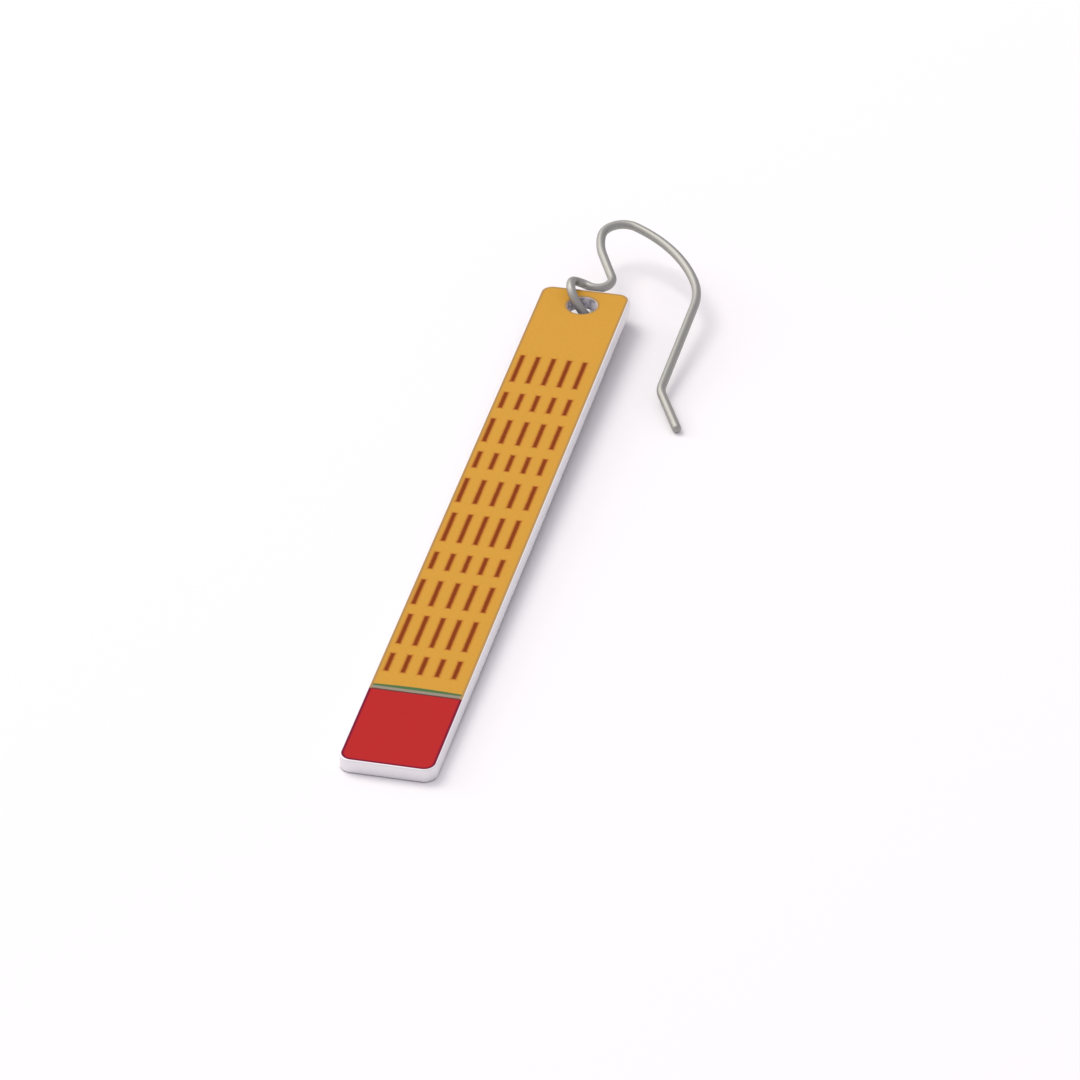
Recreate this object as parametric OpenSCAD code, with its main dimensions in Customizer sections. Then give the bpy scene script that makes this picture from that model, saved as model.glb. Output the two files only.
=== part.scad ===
// Drop earring: a flat drilled bar that hangs from the loop of a bent wire hook, lying at rest.

/* [Bar] */
// Length of the bar from end to end
bar_l = 70; // [55:1:85]
// Width of the bar
bar_w = 8; // [7:0.5:10]
// Thickness of the sheet the bar is cut from
bar_t = 1.25; // [1.15:0.05:1.5]
// Radius of the bar's four rounded corners
corner_r = 1.1; // [0.7:0.1:1.8]

/* [Hole] */
// Diameter of the drilled hole
hole_d = 2.6; // [2.5:0.1:3]
// Distance from the bar's top edge to the hole's centre
hole_inset = 2.5; // [2.4:0.1:2.6]
// How far the hole is to the right of the bar's middle
hole_aside = 0.1; // [-0.3:0.1:0.3]

/* [Wire] */
// Diameter of the hook's round wire
wire_d = 0.8; // [0.6:0.1:0.9]
// Diameter of the loop, measured on the wire's centre line
loop_d = 3.72; // [3.62:0.02:3.9]
// Angle at which the loop leans up off the surface
loop_tilt = 56; // [55:1:60]
// Angle by which the loop points away from the bar's length
loop_turn = 11.5; // [9:0.5:14]
// How far round the loop the wire runs
loop_angle = 286; // [260:2:290]
// Place on the loop where the neck leaves it, counted from the loop's far side
neck_at = 54; // [52:1:56]
// Centre line radius of the bend at the neck
neck_r = 0.95; // [0.85:0.05:1.1]
// Direction in which the wire leaves the neck, counted from the bar's right side
neck_aim = -27; // [-29:1:-20]
// Slope at which the wire runs down as it leaves the neck
neck_slope = 4; // [3:0.5:4.5]

/* [Hook] */
// Centre line radius of the bend that turns the wire up into the stem
valley_r = 1.25; // [1.15:0.05:1.6]
// Length of the straight foot of the stem
stem_l = 3.2; // [2:0.2:5]
// Centre line radius of the bow that carries the stem on into the arch
bow_r = 7; // [5:0.5:9]
// Centre line radius of the arch that sits in the ear
arch_r = 1.9; // [1.6:0.05:2.6]
// Centre line radius of the long shoulder after the arch
shoulder_r = 14; // [11:0.5:17]
// Centre line radius of the bend from the shoulder into the tail
back_r = 7.2; // [6:0.1:9]
// Length of the straight tail
tail_l = 11.3; // [9:0.1:14]
// Centre line radius of the small kick near the tip
kick_r = 2.4; // [1.6:0.1:3.2]
// Length of the straight tip
tip_l = 4.6; // [3:0.1:6]

/* [Hidden] */
$fn = 40;

wire_r = wire_d / 2;
loop_r = loop_d / 2;
hole_l = bar_l - hole_inset;
seam = wire_d / 200;
tongue = wire_d / 20;

// Each row is a straight run, then a bend: length, radius, turn to the left
hook = [
    [0, valley_r, 144],
    [stem_l, bow_r, -23],
    [0, arch_r, -118.5],
    [0, shoulder_r, -38.5],
    [0, back_r, -28.5],
    [tail_l, kick_r, 29.7],
    [tip_l, 0, 0]
];

function spin(p, a) = [p[0] * cos(a) - p[1] * sin(a), p[0] * sin(a) + p[1] * cos(a)];
function heading(i) = i == 0 ? 0 : heading(i - 1) + hook[i - 1][2];
function starts(i) = i == 0 ? [0, 0] : along(i - 1, 1);
function bent(row, a) = [row[0] + row[1] * sin(abs(a)), row[1] * sign(a) * (1 - cos(a))];
function along(i, share) = starts(i) + spin(bent(hook[i], hook[i][2] * share), heading(i));
track = [for (i = [0 : len(hook) - 1], k = [0 : 24]) along(i, k / 24)];

// The loop's low side and the bar's far end both touch the surface
loop_z = wire_r + loop_r * sin(loop_tilt);
bar_tilt = asin(loop_z / norm([hole_l, bar_t / 2])) - atan2(bar_t / 2, hole_l);
hole_y = hole_l * cos(bar_tilt) - bar_t / 2 * sin(bar_tilt);

// Directions of the loop: away from the bar, up its slope, along its axis
ahead = [-sin(loop_turn), cos(loop_turn), 0];
rising = [-cos(loop_turn) * cos(loop_tilt), -sin(loop_turn) * cos(loop_tilt), sin(loop_tilt)];
loop_axis = cross(ahead, rising);

// The neck bends from the way the wire leaves the loop to the way it starts the hook
outward = cos(neck_at) * ahead + sin(neck_at) * rising;
loop_way = sin(neck_at) * ahead - cos(neck_at) * rising;
hook_way = [cos(neck_aim) * cos(neck_slope), sin(neck_aim) * cos(neck_slope), -sin(neck_slope)];
neck_turn = acos(loop_way * hook_way);
neck_side = (hook_way - cos(neck_turn) * loop_way) / sin(neck_turn);
neck_twist = atan2(neck_side * loop_axis, neck_side * outward);
neck_run = neck_r * (sin(neck_turn) * loop_way + (1 - cos(neck_turn)) * neck_side);
hook_start = [hole_aside, hole_y, loop_z] + loop_r * (ahead + outward) + neck_run;

// The hook leans until its tip touches the surface
level = [-hook_way[1], hook_way[0], 0] / norm([hook_way[0], hook_way[1]]);
upward = cross(hook_way, level);
lean = asin(min([for (p = track)
    if (p[1] < -loop_d)
        (hook_start[2] - wire_r + p[0] * hook_way[2]) / (-p[1] * upward[2])]));
hook_left = cos(lean) * level + sin(lean) * upward;
neck_left = cos(neck_turn) * neck_side - sin(neck_turn) * loop_way;
hook_twist = atan2(hook_left * cross(loop_way, neck_side), hook_left * neck_left);

// The hook's middle line, and the lift that keeps all of it above the surface
hook_line = [for (p = track) hook_start + p[0] * hook_way + p[1] * hook_left];
lift = max(0, wire_r - min([for (p = hook_line) p[2]]));

// Half way across the whole piece, which is the origin
mid_x = (max([for (p = hook_line) p[0]]) + wire_r - bar_w / 2) / 2;
mid_y = (max([for (p = hook_line) p[1]]) + wire_r - bar_t * sin(bar_tilt)) / 2;

module bar() {
    color([0.85, 0.63, 0.27])
    translate([-mid_x, -mid_y, lift])
    rotate([bar_tilt, 0, 0])
    difference() {
        union() {
            translate([-bar_w / 2, corner_r, 0])
            cube([bar_w, bar_l - 2 * corner_r, bar_t]);
            translate([corner_r - bar_w / 2, 0, 0])
            cube([bar_w - 2 * corner_r, bar_l, bar_t]);
            for (x = [-1, 1], y = [corner_r, bar_l - corner_r])
                translate([x * (bar_w / 2 - corner_r), y, 0])
                cylinder(r = corner_r, h = bar_t);
        }
        translate([hole_aside, hole_l, -1])
        cylinder(d = hole_d, h = bar_t + 2);
    }
}

// Every second piece of the wire is a hair thinner and reaches into its neighbours, which joins them
module arc(radius, turn, slim) {
    extra = slim ? tongue / radius * 180 / PI : 0;
    rotate([0, 0, -extra])
    rotate_extrude(angle = turn + 2 * extra)
    translate([radius, 0])
    circle(r = slim ? wire_r - seam : wire_r);
}

module straight(length, slim) {
    extra = slim ? tongue : 0;
    translate([-extra, 0, 0])
    rotate([0, 90, 0])
    cylinder(r = slim ? wire_r - seam : wire_r, h = length + 2 * extra);
}

module tip() {
    intersection() {
        sphere(r = wire_r);
        translate([0, -wire_d, -wire_d])
        cube(2 * wire_d);
    }
}

module bend(radius, turn, slim) {
    translate([0, sign(turn) * radius, 0])
    rotate([0, 0, turn > 0 ? -90 : 90 + turn])
    arc(radius, abs(turn), slim);
}

module after_bend(radius, turn) {
    translate([radius * sin(abs(turn)), sign(turn) * radius * (1 - cos(turn)), 0])
    rotate([0, 0, turn])
    children();
}

module run(i, slim) {
    length = hook[i][0];
    radius = hook[i][1];
    turn = hook[i][2];
    bend_slim = length > 0 ? !slim : slim;
    if (length > 0) straight(length, slim);
    translate([length, 0, 0])
    if (turn == 0) {
        tip();
    } else {
        bend(radius, turn, bend_slim);
        after_bend(radius, turn)
        run(i + 1, !bend_slim);
    }
}

module ear_hook() {
    color([0.68, 0.66, 0.63])
    translate([hole_aside - mid_x, hole_y - mid_y, loop_z + lift])
    rotate([0, 0, 90 + loop_turn])
    rotate([loop_tilt, 0, 0])
    translate([loop_r, 0, 0])
    rotate([0, 0, neck_at]) {
        arc(loop_r, loop_angle, false);
        translate([loop_r, 0, 0])
        rotate([0, 0, -90])
        rotate([neck_twist, 0, 0]) {
            bend(neck_r, neck_turn, true);
            after_bend(neck_r, neck_turn)
            rotate([hook_twist, 0, 0])
            run(0, false);
        }
    }
}

bar();
ear_hook();
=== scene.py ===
from math import acos, asin, atan2, cos, hypot, pi, radians, sin

import bmesh
import bpy
from mathutils import Matrix, Vector


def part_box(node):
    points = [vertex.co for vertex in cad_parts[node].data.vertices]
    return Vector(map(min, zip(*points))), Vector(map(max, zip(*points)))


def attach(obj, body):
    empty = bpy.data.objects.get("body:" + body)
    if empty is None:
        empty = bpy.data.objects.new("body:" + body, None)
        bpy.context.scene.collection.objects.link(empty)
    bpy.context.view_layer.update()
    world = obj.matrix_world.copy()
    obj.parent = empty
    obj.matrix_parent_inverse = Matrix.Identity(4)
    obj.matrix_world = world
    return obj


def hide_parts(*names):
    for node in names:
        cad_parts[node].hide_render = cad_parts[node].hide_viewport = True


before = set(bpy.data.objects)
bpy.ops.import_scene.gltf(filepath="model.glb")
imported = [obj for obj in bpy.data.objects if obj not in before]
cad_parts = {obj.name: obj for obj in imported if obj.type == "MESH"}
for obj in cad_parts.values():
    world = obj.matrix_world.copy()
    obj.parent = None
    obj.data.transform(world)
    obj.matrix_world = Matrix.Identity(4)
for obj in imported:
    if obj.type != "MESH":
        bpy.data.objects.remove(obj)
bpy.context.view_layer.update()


# The bar is a strip cut from flat aluminium sheet, with its four corners
# rounded, a hole drilled near one end, and every edge rubbed down so that it
# doesn't scratch. Only its upper face is printed: the rest is bare metal.
bar_length = 70.0
bar_width = 8.0
bar_thickness = 1.25
corner_radius = 1.1
hole_radius = 1.3
hole_inset = 2.5
hole_aside = 0.1
edge_softness = 0.12
MM = 0.001

bar_low, bar_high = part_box("bar")
bar_tilt = (asin(bar_high.z / MM / hypot(bar_length, bar_thickness))
            - atan2(bar_thickness, bar_length))
bar_place = Vector(((bar_low.x + bar_high.x) / 2,
                    bar_low.y + bar_thickness * MM * sin(bar_tilt),
                    0.0))
bar_to_world = (Matrix.Translation(bar_place)
                @ Matrix.Rotation(bar_tilt, 4, "X")
                @ Matrix.Scale(MM, 4))


def corner_loop(inset, steps=12):
    """Points round the bar's outline, pulled in by inset."""
    radius = corner_radius - inset
    points = []
    for quarter, (side, end) in enumerate(((1, 1), (-1, 1), (-1, 0), (1, 0))):
        middle_x = side * (bar_width / 2 - corner_radius)
        middle_y = bar_length - corner_radius if end else corner_radius
        for k in range(steps + 1):
            angle = (quarter + k / steps) * pi / 2
            points.append((middle_x + radius * cos(angle),
                           middle_y + radius * sin(angle)))
    return points


def hole_loop(inset, steps=72):
    """Points round the hole, opened out by inset."""
    radius = hole_radius + inset
    return [(hole_aside + radius * cos(2 * pi * k / steps),
             bar_length - hole_inset + radius * sin(2 * pi * k / steps))
            for k in range(steps)]


def softened_levels(steps=4):
    """Inset and height of each loop, from the lower face up to the upper one."""
    levels = []
    for k in range(steps + 1):
        angle = k / steps * pi / 2
        levels.append((edge_softness * (1 - sin(angle)),
                       edge_softness * (1 - cos(angle))))
    return levels + [(inset, bar_thickness - height)
                     for inset, height in reversed(levels)]


def wall(body, outline):
    """A wall of the sheet, as loops joined from the lower face to the upper."""
    loops = []
    for inset, height in softened_levels():
        loops.append([body.verts.new((x, y, height)) for x, y in outline(inset)])
    for lower, upper in zip(loops, loops[1:]):
        for k in range(len(lower)):
            following = (k + 1) % len(lower)
            body.faces.new((lower[k], lower[following], upper[following], upper[k]))
    return loops[0], loops[-1]


def loop_edges(body, loop):
    """The edges that close a loop."""
    return [body.edges.get((a, b)) for a, b in zip(loop, loop[1:] + loop[:1])]


sheet = bmesh.new()
outer_low, outer_high = wall(sheet, corner_loop)
hole_low, hole_high = wall(sheet, hole_loop)
for outer, inner in ((outer_low, hole_low), (outer_high, hole_high)):
    rim = loop_edges(sheet, outer) + loop_edges(sheet, inner)
    bmesh.ops.triangle_fill(sheet, use_beauty=True, use_dissolve=False, edges=rim)
    for edge in rim:
        edge.smooth = False
bmesh.ops.recalc_face_normals(sheet, faces=sheet.faces)
for face in sheet.faces:
    face.smooth = True
sheet.transform(bar_to_world)
bar_mesh = bpy.data.meshes.new("printed_bar")
sheet.to_mesh(bar_mesh)
sheet.free()
printed_bar = bpy.data.objects.new("printed_bar", bar_mesh)
bpy.context.scene.collection.objects.link(printed_bar)


# The print is a thin coat of satin ink. From the hole down, an ochre field
# carries rows of short red-brown dashes, then comes a thin stripe of green and
# grey, then a plain red block. The ink stops just short of the softened edge.
ochre_deep, ochre_light = (0.590, 0.303, 0.039), (0.680, 0.355, 0.053)
dash_brown, dash_fringe = (0.230, 0.042, 0.004), (0.500, 0.165, 0.028)
stripe_green, stripe_grey = (0.075, 0.165, 0.060), (0.305, 0.270, 0.205)
stripe_line = (0.085, 0.030, 0.028)
red_deep, red_light = (0.452, 0.0200, 0.0205), (0.500, 0.0235, 0.024)
ochre_outline, red_outline = (0.420, 0.255, 0.090), (0.150, 0.006, 0.035)
metal_dull, metal_light = (0.730, 0.715, 0.735), (0.900, 0.885, 0.905)
# painted shade: a near-black colour for the contact shadow under the bar's lowest rim
painted_contact_shade = (0.200, 0.190, 0.200)
drilled_dull, drilled_light = (0.480, 0.455, 0.500), (0.950, 0.920, 0.980)

print_shift = -0.32
dash_width = 0.41
dash_rows = (
    {"length": 4.15, "spacing": 1.375, "places": (13.26, 37.33, 51.98)},
    {"length": 3.55, "spacing": 1.46, "places": (22.84, 31.93, 46.75)},
    {"length": 2.45, "spacing": 1.403, "places": (18.20, 27.31, 42.22, 56.60)},
)
green_start = 59.68
green_swell = 0.14
grey_start = 59.90
red_start = 60.32
print_margin = 0.16
hole_margin = 0.05


class Shade:
    """A value in a shader tree: sums, products and so on add their own nodes."""

    def __init__(self, tree, socket=None):
        self.tree, self.socket = tree, socket

    def node(self, kind, settings=None, values=None, output=0):
        """Adds any other node, with its settings first and then its sockets."""
        made = self.tree.nodes.new("ShaderNode" + kind)
        for name, value in (settings or {}).items():
            setattr(made, name, value)
        for name, value in (values or {}).items():
            if isinstance(value, Shade):
                self.tree.links.new(value.socket, made.inputs[name])
            else:
                made.inputs[name].default_value = value
        return Shade(self.tree, made.outputs[output])

    def math(self, operation, *values):
        return self.node("Math", {"operation": operation}, dict(enumerate(values)))

    def __add__(self, other):
        return self.math("ADD", self, other)

    __radd__ = __add__

    def __sub__(self, other):
        return self.math("SUBTRACT", self, other)

    def __rsub__(self, other):
        return self.math("SUBTRACT", other, self)

    def __mul__(self, other):
        return self.math("MULTIPLY", self, other)

    __rmul__ = __mul__

    def __truediv__(self, other):
        return self.math("DIVIDE", self, other)

    def __abs__(self):
        return self.math("ABSOLUTE", self)

    def least(self, other):
        return self.math("MINIMUM", self, other)

    def most(self, other):
        return self.math("MAXIMUM", self, other)

    def root(self):
        return self.math("SQRT", self)

    def rise(self, start, end):
        """0 before start and 1 after end, with a soft step between them."""
        return self.node("MapRange", {"interpolation_type": "SMOOTHSTEP"},
                         {"Value": self, "From Min": start, "From Max": end})

    def blend(self, none, full):
        """The first colour where this is 0, and the second where it is 1."""
        first, second = (c if isinstance(c, Shade) else (*c, 1.0)
                         for c in (none, full))
        return self.node("Mix", {"data_type": "RGBA"},
                         {"Factor": self, "A": first, "B": second}, output=2)

    def noise(self, scale, detail, roughness=0.5):
        """Soft random mottling, read at this place."""
        return self.node("TexNoise", None, {"Vector": self, "Scale": scale,
                                            "Detail": detail,
                                            "Roughness": roughness})

    def feed(self, shader, name):
        self.tree.links.new(self.socket, shader.inputs[name])


def new_material(name):
    """A material, its main shader and a start for its values."""
    material = bpy.data.materials.new(name)
    material.use_nodes = True
    tree = material.node_tree
    return material, tree.nodes["Principled BSDF"], Shade(tree)


printed, shader, start = new_material("printed_aluminium")
to_bar = bar_to_world.inverted()
place = start.node("Mapping", None,
                   {"Vector": start.node("TexCoord", output="Object"),
                    "Location": to_bar.translation,
                    "Rotation": (-bar_tilt, 0.0, 0.0),
                    "Scale": (1 / MM,) * 3})
across, along, height = (place.node("SeparateXYZ", None, {"Vector": place}, output=k)
                         for k in range(3))
from_top = bar_length - along

corner_x = abs(across) - (bar_width / 2 - corner_radius)
corner_y = abs(along - bar_length / 2) - (bar_length / 2 - corner_radius)
out_x, out_y = corner_x.most(0.0), corner_y.most(0.0)
from_edge = (corner_radius - (out_x * out_x + out_y * out_y).root()
             - corner_x.most(corner_y).least(0.0))
hole_x, hole_y = across - hole_aside, along - (bar_length - hole_inset)
from_hole = (hole_x * hole_x + hole_y * hole_y).root() - hole_radius
from_rim = from_edge.least(from_hole + print_margin - hole_margin)

wobble = place.noise(2.2, 2.0) - 0.5
fine_wobble = place.noise(9.0, 2.0) - 0.5
speck = place.noise(5.0, 5.0, 0.65)

dash_x = across - print_shift + wobble * 0.06
dash_y = from_top + wobble * 0.10
brown, fringe = None, None
for row in dash_rows:
    nearest = None
    for centre in row["places"]:
        distance = abs(dash_y - centre)
        nearest = distance if nearest is None else nearest.least(distance)
    column = dash_x / row["spacing"]
    beyond_side = abs(column - column.math("ROUND", column)) * row["spacing"]
    beyond_fifth = (abs(column) - 2.5) * row["spacing"]
    beyond = ((nearest - row["length"] / 2).most(beyond_side - dash_width / 2)
              .most(beyond_fifth) + fine_wobble * 0.08)
    core, halo = 1 - beyond.rise(-0.12, 0.06), 1 - beyond.rise(-0.06, 0.22)
    brown = core if brown is None else brown.most(core)
    fringe = halo if fringe is None else fringe.most(halo)

edge_y = from_top + wobble * 0.05
swollen_y = edge_y + across.math("COSINE", across * 0.42) * green_swell
red = edge_y.rise(red_start - 0.03, red_start + 0.03)
line = 1 - abs(edge_y - red_start).rise(0.03, 0.13)
outline = 1 - from_rim.rise(print_margin + 0.12, print_margin + 0.28)

ink = speck.blend(ochre_deep, ochre_light)
ink = (fringe * 0.8).blend(ink, dash_fringe)
ink = brown.blend(ink, dash_brown)
ink = swollen_y.rise(green_start - 0.07, green_start + 0.07).blend(ink, stripe_green)
ink = edge_y.rise(grey_start - 0.08, grey_start + 0.08).blend(ink, stripe_grey)
ink = red.blend(ink, speck.blend(red_deep, red_light))
ink = (line * 0.85).blend(ink, stripe_line)
ink = (outline * 0.85).blend(ink, red.blend(ochre_outline, red_outline))

upper = height.rise(bar_thickness - 0.05, bar_thickness - 0.02)
inked = upper * from_rim.rise(print_margin - 0.03, print_margin + 0.02)
bare = 1 - inked
drilled = bare * (1 - from_hole.rise(0.02, 0.05))
rubbed = bare * height.rise(bar_thickness - 0.15, bar_thickness - 0.10)
# Painted shade: the bare walls darken towards their lowest rim, for the contact shadow
# where the bar meets the table.
contact_shade_mask = 1 - height.rise(0.04, 0.15)

filed = place.node("Mapping", None, {"Vector": place, "Scale": (1.0, 0.12, 6.0)})
filed = filed.noise(6.0, 4.0, 0.6)
torn = place.noise(2.4, 3.0, 0.6).rise(0.36, 0.66)
metal = drilled.blend(filed.blend(metal_dull, metal_light),
                      torn.blend(drilled_dull, drilled_light))
# the lowest rim of the bare metal is painted with shade, for the contact shadow at the
# table
metal = (contact_shade_mask * 0.8).blend(metal, painted_contact_shade)
inked.blend(metal, ink).feed(shader, "Base Color")
(bare - 0.7 * drilled.most(rubbed)).feed(shader, "Metallic")
(inked * (0.44 + 0.10 * speck) + bare * (0.42 + 0.22 * filed)
 + 0.15 * drilled).feed(shader, "Roughness")
relief = inked * (0.55 + 0.06 * speck) + bare * 0.35 * filed + drilled * 0.8 * torn
start.node("Bump", None, {"Strength": 0.35, "Distance": 0.00003,
                          "Height": relief}).feed(shader, "Normal")
shader.inputs["Specular IOR Level"].default_value = 0.04

bar_mesh.materials.append(printed)
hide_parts("bar")
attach(printed_bar, "root")


# The ear hook is one length of drawn wire. A small loop at one end goes through
# the hole, a tight neck turns the wire up into a bowed stem and over the arch that
# sits in the ear, and a long tail runs back to a slight kick before the tip.
wire_radius = 0.4
drawn_radius = 0.395  # a hair under, to stay in the box of the faceted solid
loop_radius = 1.86
loop_lean = radians(56)
loop_turn = radians(11.5)
loop_angle = radians(286)
neck_at = radians(54)
neck_radius = 0.95
neck_aim = radians(-27)
neck_slope = radians(4)
hook_bends = (
    {"straight": 0.0, "radius": 1.25, "turn": 144.0},
    {"straight": 3.2, "radius": 7.0, "turn": -23.0},
    {"straight": 0.0, "radius": 1.9, "turn": -118.5},
    {"straight": 0.0, "radius": 14.0, "turn": -38.5},
    {"straight": 0.0, "radius": 7.2, "turn": -28.5},
    {"straight": 11.3, "radius": 2.4, "turn": 29.7},
    {"straight": 4.6, "radius": 0.0, "turn": 0.0},
)

hole_along = bar_length - hole_inset
hole_middle = bar_place / MM + Vector((
    hole_aside,
    hole_along * cos(bar_tilt) - bar_thickness / 2 * sin(bar_tilt),
    wire_radius + loop_radius * sin(loop_lean)))
ahead = Vector((-sin(loop_turn), cos(loop_turn), 0.0))
rising = Vector((-cos(loop_turn) * cos(loop_lean),
                 -sin(loop_turn) * cos(loop_lean),
                 sin(loop_lean)))


def on_loop(angle):
    """A point on the loop's centre line."""
    return (hole_middle + loop_radius * ahead
            + loop_radius * (cos(angle) * ahead + sin(angle) * rising))


loop_way = sin(neck_at) * ahead - cos(neck_at) * rising
hook_way = Vector((cos(neck_aim) * cos(neck_slope),
                   sin(neck_aim) * cos(neck_slope),
                   -sin(neck_slope)))
neck_turn = acos(loop_way.dot(hook_way))
neck_side = (hook_way - cos(neck_turn) * loop_way) / sin(neck_turn)


def on_neck(angle):
    """A point on the neck's centre line."""
    return on_loop(neck_at) + neck_radius * (
        sin(angle) * loop_way + (1 - cos(angle)) * neck_side)


def flat_run():
    """The hook's centre line after the neck, as it would be bent on a bench."""
    x, y, heading, points = 0.0, 0.0, 0.0, []
    for bend in hook_bends:
        steps = max(1, round(bend["straight"] / 0.5))
        for k in range(steps if bend["straight"] else 0):
            reach = bend["straight"] * (k + 1) / steps
            points.append((x + reach * cos(heading), y + reach * sin(heading)))
        if bend["straight"]:
            x, y = points[-1]
        turn, side = radians(bend["turn"]), (1 if bend["turn"] > 0 else -1)
        steps = max(2, round(abs(bend["turn"]) / 3.0))
        for k in range(steps if bend["turn"] else 0):
            angle = turn * (k + 1) / steps
            points.append((
                x + bend["radius"] * side * (sin(heading + angle) - sin(heading)),
                y + bend["radius"] * side * (cos(heading) - cos(heading + angle))))
        if bend["turn"]:
            x, y = points[-1]
            heading += turn
    return points


hook_start = on_neck(neck_turn)
level = Vector((-hook_way.y, hook_way.x, 0.0)).normalized()
upward = hook_way.cross(level)
bench = flat_run()
hook_lean = asin(min((hook_start.z - wire_radius + a * hook_way.z) / (-b * upward.z)
                     for a, b in bench if b < -2 * loop_radius))
leftward = cos(hook_lean) * level + sin(hook_lean) * upward

centre_line = [on_loop(neck_at + loop_angle * (1 - k / 96)) for k in range(97)]
centre_line += [on_neck(neck_turn * k / 30) for k in range(1, 31)]
centre_line += [hook_start + a * hook_way + b * leftward for a, b in bench]
girth = [1.0] * len(centre_line)


def rounded_end(points, sizes, steps, reach):
    """Adds the points that close the wire's end in a rounded tip."""
    way = (points[-1] - points[-2]).normalized()
    tip = points[-1]
    for k in range(1, steps + 1):
        angle = k / steps * pi / 2
        points.append(tip + way * reach * sin(angle))
        sizes.append(max(cos(angle), 0.02))


rounded_end(centre_line, girth, 8, wire_radius)
centre_line.reverse()
girth.reverse()
# the loop's cut end keeps its length, so its softened rim starts inside it
cut = centre_line[-1] + (centre_line[-2] - centre_line[-1]).normalized() * 0.06
centre_line[-1] = cut
rounded_end(centre_line, girth, 4, 0.06)
girth[-3:] = [0.985, 0.94, 0.86]

path_mesh = bpy.data.meshes.new("hook_path")
path_mesh.from_pydata([p * MM for p in centre_line],
                      [(k, k + 1) for k in range(len(centre_line) - 1)], [])
path_mesh.attributes.new("girth", "FLOAT", "POINT").data.foreach_set("value", girth)
hook_path = bpy.data.objects.new("hook_path", path_mesh)
bpy.context.scene.collection.objects.link(hook_path)

drawn_wire, shader, start = new_material("drawn_wire")


def drawing_tree():
    """The tree that draws a round wire along a path, as a die would."""
    tree = bpy.data.node_groups.new("draw_wire", "GeometryNodeTree")
    sockets = tree.interface
    sockets.new_socket("Geometry", in_out="INPUT", socket_type="NodeSocketGeometry")
    for name, kind, value in (("Wire Radius", "NodeSocketFloat", drawn_radius * MM),
                              ("Sides", "NodeSocketInt", 40)):
        sockets.new_socket(name, in_out="INPUT", socket_type=kind).default_value = value
    sockets.new_socket("Material", in_out="INPUT", socket_type="NodeSocketMaterial")
    sockets.new_socket("Geometry", in_out="OUTPUT", socket_type="NodeSocketGeometry")

    def add(kind, links=None, **settings):
        made = tree.nodes.new(kind)
        for name, value in settings.items():
            setattr(made, name, value)
        for name, value in (links or {}).items():
            if isinstance(value, bpy.types.NodeSocket):
                tree.links.new(value, made.inputs[name])
            else:
                made.inputs[name].default_value = value
        return made

    given = add("NodeGroupInput").outputs
    curve = add("GeometryNodeMeshToCurve", {"Mesh": given["Geometry"]})
    spun = add("GeometryNodeSetCurveNormal", {"Curve": curve.outputs["Curve"]},
               mode="MINIMUM_TWIST")
    run = add("GeometryNodeSplineParameter")
    marked = add("GeometryNodeStoreNamedAttribute",
                 {"Geometry": spun.outputs["Curve"], "Name": "wire_run",
                  "Value": run.outputs["Length"]},
                 data_type="FLOAT", domain="POINT")
    sized = add("GeometryNodeInputNamedAttribute", {"Name": "girth"},
                data_type="FLOAT")
    ring = add("GeometryNodeCurvePrimitiveCircle",
               {"Resolution": given["Sides"], "Radius": given["Wire Radius"]},
               mode="RADIUS")
    place = add("GeometryNodeInputPosition")
    sided = add("GeometryNodeStoreNamedAttribute",
                {"Geometry": ring.outputs["Curve"], "Name": "wire_side",
                 "Value": place.outputs["Position"]},
                data_type="FLOAT_VECTOR", domain="POINT")
    drawn = add("GeometryNodeCurveToMesh",
                {"Curve": marked.outputs["Geometry"],
                 "Profile Curve": sided.outputs["Geometry"],
                 "Scale": sized.outputs["Attribute"], "Fill Caps": True})
    smooth = add("GeometryNodeSetShadeSmooth", {"Geometry": drawn.outputs["Mesh"]})
    real = add("GeometryNodeRealizeInstances",
               {"Geometry": smooth.outputs["Geometry"]})
    finished = add("GeometryNodeSetMaterial",
                   {"Geometry": real.outputs["Geometry"],
                    "Material": given["Material"]})
    add("NodeGroupOutput", {"Geometry": finished.outputs["Geometry"]})
    return tree


drawing = hook_path.modifiers.new("drawing", "NODES")
drawing.node_group = drawing_tree()
inputs = {item.name: item.identifier
          for item in drawing.node_group.interface.items_tree
          if item.in_out == "INPUT"}
drawing[inputs["Wire Radius"]] = drawn_radius * MM
drawing[inputs["Sides"]] = 40
drawing[inputs["Material"]] = drawn_wire
depsgraph = bpy.context.evaluated_depsgraph_get()
hook_mesh = bpy.data.meshes.new_from_object(hook_path.evaluated_get(depsgraph))
hook_mesh.name = "wire_hook"
bpy.data.objects.remove(hook_path)
wire_hook = bpy.data.objects.new("wire_hook", hook_mesh)
bpy.context.scene.collection.objects.link(wire_hook)

wire_deep, wire_light = (0.330, 0.333, 0.310), (0.425, 0.422, 0.396)
run = start.node("Attribute", {"attribute_name": "wire_run"}, output="Fac")
side = start.node("Attribute", {"attribute_name": "wire_side"}, output="Vector")
lengthwise = start.node("CombineXYZ", None, {"X": run * 60.0})
grain_place = start.node("VectorMath", {"operation": "ADD"}, {
    0: start.node("VectorMath", {"operation": "SCALE"}, {0: side, "Scale": 9000.0}),
    1: lengthwise})
grain = grain_place.noise(1.0, 3.0, 0.6)
mottle = start.node("TexCoord", output="Object").noise(900.0, 3.0)
(grain * 0.6 + mottle * 0.4).blend(wire_deep, wire_light).feed(shader, "Base Color")
(0.46 + 0.10 * grain + 0.06 * mottle).feed(shader, "Roughness")
start.node("Bump", None, {"Strength": 0.25, "Distance": 0.00002,
                          "Height": grain}).feed(shader, "Normal")
shader.inputs["Metallic"].default_value = 1.0

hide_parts("ear_hook")
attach(wire_hook, "root")


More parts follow.
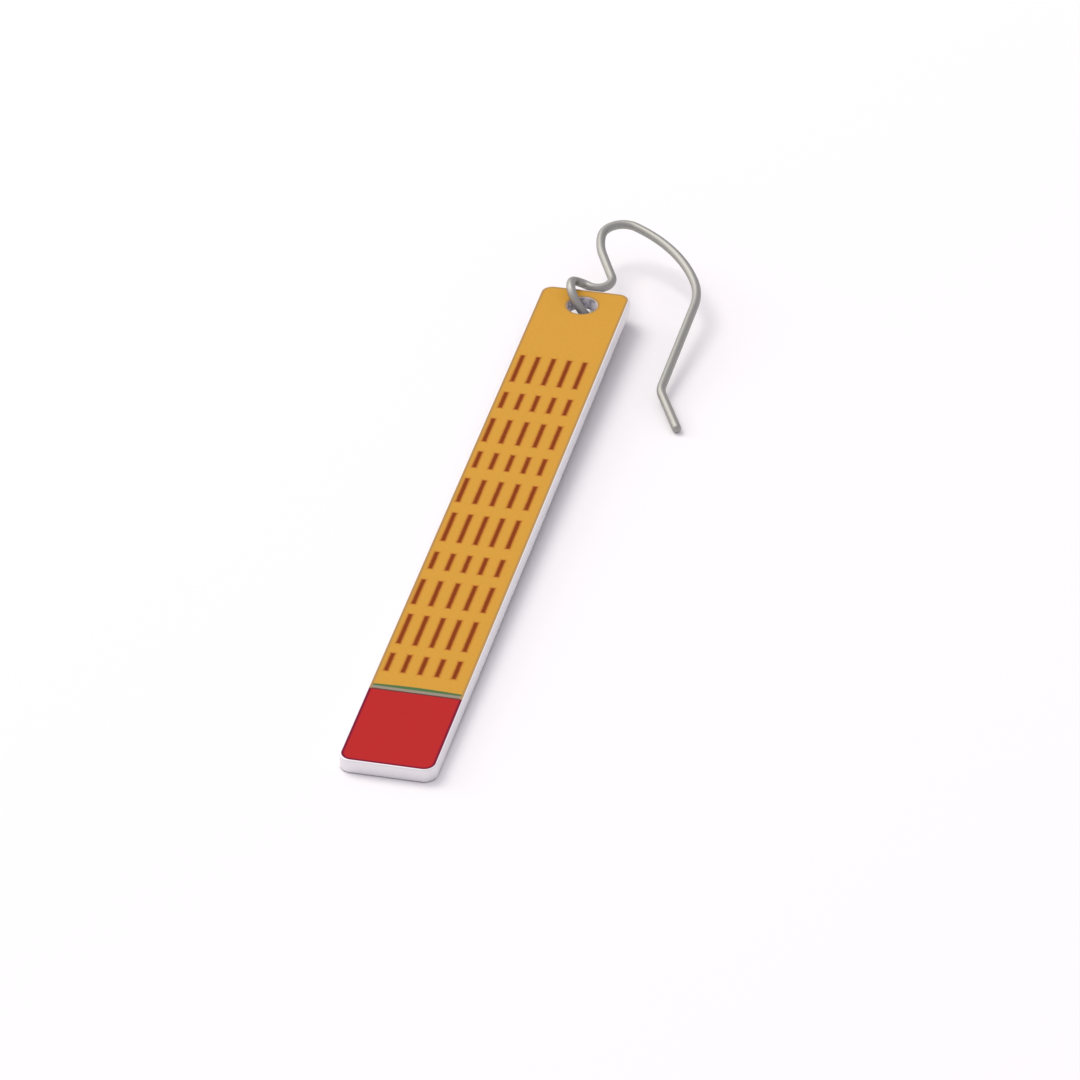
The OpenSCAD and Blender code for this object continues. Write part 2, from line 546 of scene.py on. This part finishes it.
# The stage: a matt white table, lit by a big soft lamp high on the left and by a
# weaker one lower down, with pale walls all round that fill the shadows.
table_mesh = bpy.data.meshes.new("table_top")
table = bmesh.new()
bmesh.ops.create_circle(table, cap_ends=True, radius=3.0, segments=96)
table.to_mesh(table_mesh)
table.free()
table_top = bpy.data.objects.new("table_top", table_mesh)
bpy.context.scene.collection.objects.link(table_top)
matt_white, shader, start = new_material("matt_white")
cloud = start.node("TexCoord", output="Object").noise(6.0, 2.0)
cloud.blend((0.925, 0.915, 0.925), (0.935, 0.925, 0.935)).feed(shader, "Base Color")
shader.inputs["Roughness"].default_value = 0.9
shader.inputs["Specular IOR Level"].default_value = 0.1
table_mesh.materials.append(matt_white)

room = bpy.data.worlds.new("pale_room")
room.use_nodes = True
room.node_tree.nodes["Background"].inputs["Color"].default_value = (
    0.97, 0.935, 1.0, 1.0)
room.node_tree.nodes["Background"].inputs["Strength"].default_value = 0.73
bpy.context.scene.world = room


def soft_lamp(name, towards, distance, size, power, tint):
    """A square soft lamp that faces the earring from the given side."""
    data = bpy.data.lights.new(name, "AREA")
    data.shape, data.size, data.energy, data.color = "SQUARE", size, power, tint
    lamp = bpy.data.objects.new(name, data)
    direction = Vector(towards).normalized()
    lamp.location = direction * distance
    lamp.rotation_mode = "QUATERNION"
    lamp.rotation_quaternion = direction.to_track_quat("Z", "Y")
    bpy.context.scene.collection.objects.link(lamp)


soft_lamp("window_lamp", (-0.50, 0.32, 0.80), 2.0, 1.15, 19.0, (1.0, 0.97, 0.91))
soft_lamp("left_card", (-0.90, 0.18, 0.36), 2.0, 0.8, 7.0, (1.0, 0.92, 0.84))

# The camera looks down at the earring from its free end, a little to the right.
camera_azimuth = radians(14.008)
camera_elevation = radians(34.278)
camera_roll = radians(-0.837)
camera_distance = 0.54018
camera_aim = Vector((0.000085, -0.005063, 0.0))
away = Vector((sin(camera_azimuth) * cos(camera_elevation),
               -cos(camera_azimuth) * cos(camera_elevation),
               sin(camera_elevation)))
camera_data = bpy.data.cameras.new("view")
camera_data.sensor_width = 36.0
camera_data.lens = 216.667
camera_data.clip_start, camera_data.clip_end = 0.01, 20.0
camera = bpy.data.objects.new("view", camera_data)
bpy.context.scene.collection.objects.link(camera)
camera.location = camera_aim + away * camera_distance
camera.rotation_mode = "QUATERNION"
camera.rotation_quaternion = (
    away.to_track_quat("Z", "Y").to_matrix()
    @ Matrix.Rotation(camera_roll, 3, "Z")).to_quaternion()
bpy.context.scene.camera = camera
bpy.context.scene.view_settings.view_transform = "Standard"
